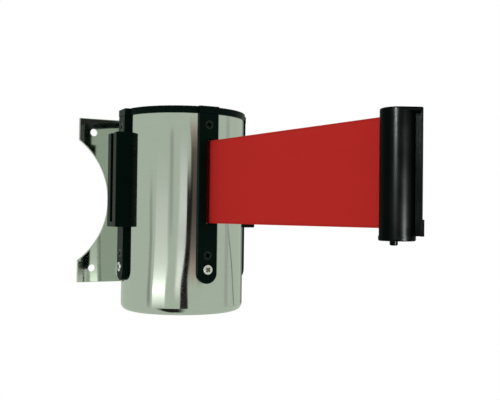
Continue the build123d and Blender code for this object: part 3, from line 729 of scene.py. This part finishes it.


# The free run is made in lengths; both ends of every length are shares of the whole run that fall on its steps
RUN_STEPS = 120
RUN_SHARES = (0.0, 0.075, 0.25, 0.5, 0.75, 0.925, 1.0)


class BELTUNIT_OT_belt_run(bpy.types.Operator):
    """Free run of webbing between the slot and the belt end, in lengths"""
    bl_idname = "beltunit.belt_run"
    bl_label = "Belt run"

    def execute(self, context):
        belt = context.scene.belt_unit_belt
        start = EXIT + BELT_DIR * belt.root_out
        stop = ROD - BELT_DIR * belt.rod_reach
        names = [f"belt_run_webbing_{count}" for count in range(1, len(RUN_SHARES))]
        for name, near, far in zip(names, RUN_SHARES, RUN_SHARES[1:]):
            first = round(near * RUN_STEPS)
            last = round(far * RUN_STEPS)
            strip, length = belt_strip(name, straight_path(start, stop, RUN_STEPS), belt.ripple,
                                       first, last)
            finish_piece(strip, "red_webbing")
            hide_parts("belt_run")
            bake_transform(strip)
        return {"FINISHED"}


class BELTUNIT_OT_cad_finishes(bpy.types.Operator):
    """Materials for the parts whose shape stays as designed"""
    bl_idname = "beltunit.cad_finishes"
    bl_label = "Finishes of the designed parts"

    def execute(self, context):
        slots = {row["node"]: row["material_slot"] for row in frame["record"]["subparts"]}
        slots.update({name: "gloss_plastic" for name in END_MOULDINGS})
        for name, node in frame["nodes"].items():
            node.data.materials.clear()
            node.data.materials.append(finish_of(slots[name]))
        return {"FINISHED"}


# ---- stage
def emission_material(name, colour, strength):
    """Evenly lit pale surface."""
    mat = bpy.data.materials.new(name)
    mat.use_nodes = True
    tree = mat.node_tree
    tree.nodes.clear()
    out = tree.nodes.new("ShaderNodeOutputMaterial")
    glow = add_node(tree, "ShaderNodeEmission", {"Color": (*colour, 1.0), "Strength": strength})
    tree.links.new(glow.outputs[0], out.inputs["Surface"])
    return mat


def card_material(name, colour, edges):
    """Glowing card whose edges fade out; edges holds the faded share at the left, right, bottom and top."""
    mat = bpy.data.materials.new(name)
    mat.use_nodes = True
    tree = mat.node_tree
    tree.nodes.clear()
    out = tree.nodes.new("ShaderNodeOutputMaterial")
    place = add_node(tree, "ShaderNodeUVMap", uv_map="Card")
    parts = add_node(tree, "ShaderNodeSeparateXYZ", None, {"Vector": place.outputs["UV"]})
    shares = []
    for axis, start, fade in (("X", 0.0, edges[0]), ("X", 1.0, -edges[1]),
                              ("Y", 0.0, edges[2]), ("Y", 1.0, -edges[3])):
        node = add_node(tree, "ShaderNodeMapRange", {"From Min": start, "From Max": start + fade},
                        {"Value": parts.outputs[axis]}, interpolation_type="SMOOTHSTEP")
        shares.append(node.outputs["Result"])
    alpha = shares[0]
    for share in shares[1:]:
        product = add_node(tree, "ShaderNodeMath", None, {0: alpha, 1: share}, operation="MULTIPLY")
        alpha = product.outputs[0]
    level = add_node(tree, "ShaderNodeAttribute", attribute_name="glow")
    glow = add_node(tree, "ShaderNodeEmission", {"Color": (*colour, 1.0)},
                    {"Strength": level.outputs["Fac"]})
    clear = tree.nodes.new("ShaderNodeBsdfTransparent")
    both = add_node(tree, "ShaderNodeMixShader", None,
                    {0: alpha, 1: clear.outputs[0], 2: glow.outputs[0]})
    tree.links.new(both.outputs[0], out.inputs["Surface"])
    return mat


def studio_card(name, distance, rows, colour, edges):
    """Curved card round the canister; a row is a height in mm, two azimuths in degrees and a brightness."""
    deselect_all()
    bpy.ops.mesh.primitive_grid_add(x_subdivisions=12, y_subdivisions=len(rows) - 1, size=1.0)
    card = bpy.context.object
    card.name = name
    mesh = card.data
    glow = mesh.attributes.new("glow", "FLOAT", "POINT")
    place = mesh.uv_layers.new(name="Card")
    shares = {}
    for vert in mesh.vertices:
        row = rows[round((vert.co.y + 0.5) * (len(rows) - 1))]
        share = vert.co.x + 0.5
        turn = math.radians(row[1] + (row[2] - row[1]) * share)
        shares[vert.index] = (share, (row[0] - rows[0][0]) / (rows[-1][0] - rows[0][0]))
        glow.data[vert.index].value = row[3]
        vert.co = (math.sin(turn) * distance, AXIS_Y - math.cos(turn) * distance, row[0] * MM)
    for loop in mesh.loops:
        place.data[loop.index].uv = shares[loop.vertex_index]
    card.visible_camera = False
    card.visible_diffuse = False
    card.visible_shadow = False
    mesh.materials.append(card_material(name, colour, edges))


def background(tree, colour, strength):
    """Even light of one colour from all round."""
    return add_node(tree, "ShaderNodeBackground", {"Color": (*colour, 1.0), "Strength": strength})


def room_background(tree, polish_level, soft_level):
    """White for the camera, a greenish tent for polished surfaces and even warm light for matt ones."""
    path = tree.nodes.new("ShaderNodeLightPath")
    white = background(tree, (1.0, 1.0, 1.0), 1.0)
    polish = background(tree, (0.91, 1.0, 0.86), polish_level)
    soft = background(tree, (1.0, 0.98, 0.95), soft_level)
    room = add_node(tree, "ShaderNodeMixShader", None,
                    {0: path.outputs["Is Glossy Ray"], 1: soft.outputs[0], 2: polish.outputs[0]})
    return add_node(tree, "ShaderNodeMixShader", None,
                    {0: path.outputs["Is Camera Ray"], 1: room.outputs[0], 2: white.outputs[0]})


# Name, distance in metres, rows as studio_card takes them, colour, and the faded share of each edge
TENT_CARDS = (
    ("flag_right", 0.57, ((-96, 6, 17, 0.02), (40, 6, 17, 0.02), (170, 6, 17, 0.02)),
     (1.0, 1.0, 0.9), (0.1, 0.1, 0.04, 0.1)),
    ("brown_flag", 0.58, ((-98, -12, 9, 0.55), (-75, -11, 9, 0.40), (-60, -10, 9, 0.27),
                          (-43, -10, 9, 0.17), (0, -9, 9, 0.10), (75, -9, 9, 0.13),
                          (88, -10, 9, 0.28), (104, -12, 9, 0.46), (125, -14, 9, 0.52)),
     (1.0, 0.80, 0.70), (0.12, 0.05, 0.05, 0.12)),
    ("dark_streak", 0.56, ((-148, -26, -8, 0.05), (-115, -25, -9, 0.02), (-102, -25, -10, 0.015),
                           (-88, -23, -10, 0.01), (-68, -19, -7, 0.01), (-43, -16, -6, 0.02),
                           (-3, -15, -4, 0.02), (37, -15, -3, 0.02), (77, -12, 0, 0.04)),
     (1.0, 0.9, 0.8), (0.10, 0.22, 0.05, 0.3)),
    ("bright_edge", 0.59, ((-122, -36, -24, 0.9), (-108, -36, -23, 1.05), (-75, -34, -16, 1.05),
                           (-43, -33, -15, 0.72), (-3, -31, -13, 0.80), (37, -30, -14, 0.74),
                           (110, -30, -16, 0.62)),
     (1.0, 1.0, 0.97), (0.35, 0.1, 0.08, 0.3)),
    ("mid_line", 0.59, ((-60, -48, -36, 0.46), (110, -48, -37, 0.40)), (0.97, 1.0, 0.94),
     (0.45, 0.45, 0.3, 0.1)),
    ("low_panel", 0.60, ((-132, -77, -50, 0.95), (-122, -77, -50, 1.1), (-108, -77, -50, 2.0),
                         (-90, -75, -48, 1.2), (-75, -74, -45, 0.90), (-43, -72, -46, 0.80),
                         (20, -71, -47, 0.68), (90, -70, -50, 0.62)),
     (0.96, 1.0, 0.92), (0.06, 0.12, 0.03, 0.4)),
    ("left_line", 0.585, ((-134, -89, -78, 0.30), (-108, -89, -79, 0.34), (-75, -86, -77, 0.38),
                          (-43, -84, -76, 0.34), (60, -86, -77, 0.46)),
     (0.97, 1.0, 0.94), (0.4, 0.35, 0.08, 0.3)),
    ("right_line", 0.59, ((-140, 92, 96, 0.22), (-75, 81, 85, 0.2), (-20, 68, 71, 0.25)),
     (1.0, 0.95, 0.9), (0.3, 0.3, 0.05, 0.1)),
    ("right_shade", 0.60, ((-90, 36, 48, 0.42), (140, 36, 47, 0.42)), (0.97, 1.0, 0.94),
     (0.1, 0.4, 0.2, 0.1)),
    ("right_band", 0.60, ((-150, 60, 75, 0.46), (140, 60, 75, 0.46)), (0.97, 1.0, 0.94),
     (0.45, 0.45, 0.1, 0.1)),
    ("far_shade", 0.60, ((-160, 118, 170, 0.16), (160, 118, 170, 0.16)), (0.97, 1.0, 0.94),
     (0.35, 0.1, 0.1, 0.1)),
    ("low_flag", 0.55, ((-1700, -72, -8, 0.02), (-900, -72, -8, 0.02), (-420, -72, -8, 0.02),
                        (-139, -72, -8, 0.02)),
     (1.0, 1.0, 0.9), (0.25, 0.35, 0.1, 0.01)),
)
# Name, azimuth from the rod in degrees, height, width and length in metres, lean in degrees, power share
STRIP_LIGHTS = (
    ("tall_strip", -49, 0.21, 0.085, 0.20, 4, 1.0),
    ("low_strip", 10, -0.15, 0.14, 0.14, 8, 2.1),
)
STRIP_DISTANCE = 0.6
# Where the camera looks, and which way is up in its picture
CAMERA_FORWARD = Vector((0.44563, 0.89498, 0.02059)).normalized()
CAMERA_UP = Vector((-0.02011, -0.01299, 0.99971))


def soft_light(name, place, target, power, size):
    """Square area light at a place, turned to a target."""
    bpy.ops.object.light_add(type="AREA", location=place)
    light = bpy.context.object
    light.name = name
    light.data.energy = power
    light.data.size = size
    light.rotation_euler = (Vector(target) - light.location).to_track_quat("-Z", "Y").to_euler()
    return light


def strip_light(name, azimuth, height, width, tall, lean, power, receivers):
    """Upright area light round the rod that only the receivers' polish shows."""
    bearing = math.radians(azimuth)
    place = ROD + STRIP_DISTANCE * Vector((math.sin(bearing), -math.cos(bearing), 0))
    place.z = height
    bpy.ops.object.light_add(type="AREA", location=place)
    strip = bpy.context.object
    strip.name = name
    strip.data.shape = "RECTANGLE"
    strip.data.size = width
    strip.data.size_y = tall
    strip.data.energy = power
    strip.data.color = (0.92, 1.0, 0.98)
    aim = (Vector((ROD.x, ROD.y, height)) - place).to_track_quat("-Z", "Y").to_matrix().to_4x4()
    roll = Matrix.Rotation(math.radians(lean), 4, "Z")
    strip.matrix_world = Matrix.Translation(place) @ aim @ roll
    strip.light_linking.receiver_collection = receivers
    strip.visible_diffuse = False


class BELTUNIT_OT_stage(bpy.types.Operator):
    """Pale floor, soft light all round, soft and linked lights, the tent's cards and the camera"""
    bl_idname = "beltunit.stage"
    bl_label = "Stage"

    def execute(self, context):
        stage = context.scene.belt_unit_stage
        scene = context.scene
        deselect_all()
        bpy.ops.mesh.primitive_plane_add(size=30.0, location=(0, 0, shell_low.z - stage.floor_drop))
        floor = bpy.context.object
        floor.name = "floor"
        floor.data.materials.append(emission_material("Pale floor", (1.0, 1.0, 1.0), 1.0))
        floor.visible_diffuse = False
        floor.visible_glossy = False

        world = bpy.data.worlds.new("Soft room")
        world.use_nodes = True
        tree = world.node_tree
        tree.nodes.clear()
        out = tree.nodes.new("ShaderNodeOutputWorld")
        room = room_background(tree, stage.tent_light, stage.room_light)
        tree.links.new(room.outputs[0], out.inputs["Surface"])
        scene.world = world

        key = soft_light("overhead", (-0.35, -0.75, 0.75), (0, AXIS_Y, 0), stage.key_power, 0.9)
        key.visible_glossy = False

        mouldings = bpy.data.collections.new("mouldings")
        for name in END_MOULDINGS:
            mouldings.objects.link(frame["nodes"][name])
        for name, azimuth, height, width, tall, lean, share in STRIP_LIGHTS:
            strip_light(name, azimuth, height, width, tall, lean, stage.strip_power * share, mouldings)

        side = soft_light("side_fill", (-0.65, 0.35, 0.25), (0, AXIS_Y, 0), stage.side_power, 0.35)
        side.visible_glossy = False

        heads = bpy.data.collections.new("plated heads")
        heads.objects.link(bpy.data.objects["pan_head_screws"])
        glint = soft_light("head_glint", (-0.32, -1.0, -0.05), (0, AXIS_Y, -0.04), stage.glint_power,
                           0.7)
        glint.light_linking.receiver_collection = heads

        for name, distance, rows, colour, edges in TENT_CARDS:
            studio_card(name, distance, rows, colour, edges)

        bpy.ops.object.camera_add()
        camera = bpy.context.object
        camera.name = "camera"
        camera.data.sensor_width = 36.0
        camera.data.lens = stage.lens
        camera.data.clip_start = 0.01
        right = CAMERA_FORWARD.cross(CAMERA_UP).normalized()
        up = right.cross(CAMERA_FORWARD)
        turn = Matrix((right, up, -CAMERA_FORWARD)).transposed().to_4x4()
        camera.matrix_world = Matrix.Translation(Vector(stage.camera_place)) @ turn
        scene.camera = camera
        scene.view_settings.view_transform = "Standard"
        return {"FINISHED"}


# ---- panel and registration
STEPS = ("cad_finishes", "shell", "strip_screws", "belt_root", "belt_run", "stage")


class BELTUNIT_PT_panel(bpy.types.Panel):
    """Lists the settings and the steps in the order that they run"""
    bl_label = "Belt unit"
    bl_idname = "BELTUNIT_PT_panel"
    bl_space_type = "VIEW_3D"
    bl_region_type = "UI"
    bl_category = "Belt unit"

    def draw(self, context):
        for group_name in SETTINGS:
            group = getattr(context.scene, group_name)
            for prop in group.bl_rna.properties:
                if prop.identifier not in ("rna_type", "name"):
                    self.layout.prop(group, prop.identifier)
        for step in STEPS:
            self.layout.operator(f"beltunit.{step}")


SETTINGS = {
    "belt_unit_shell": ShellSettings,
    "belt_unit_screws": ScrewSettings,
    "belt_unit_belt": BeltSettings,
    "belt_unit_finish": FinishSettings,
    "belt_unit_stage": StageSettings,
}
CLASSES = (
    ShellSettings,
    ScrewSettings,
    BeltSettings,
    FinishSettings,
    StageSettings,
    BELTUNIT_OT_cad_finishes,
    BELTUNIT_OT_shell,
    BELTUNIT_OT_strip_screws,
    BELTUNIT_OT_belt_root,
    BELTUNIT_OT_belt_run,
    BELTUNIT_OT_stage,
    BELTUNIT_PT_panel,
)


def register():
    for cls in CLASSES:
        bpy.utils.register_class(cls)
    for name, cls in SETTINGS.items():
        setattr(bpy.types.Scene, name, PointerProperty(type=cls))


def unregister():
    for name in SETTINGS:
        delattr(bpy.types.Scene, name)
    for cls in reversed(CLASSES):
        bpy.utils.unregister_class(cls)


def main():
    register()
    for step in STEPS:
        getattr(bpy.ops.beltunit, step)()
    deselect_all()


if __name__ == "__main__":
    main()
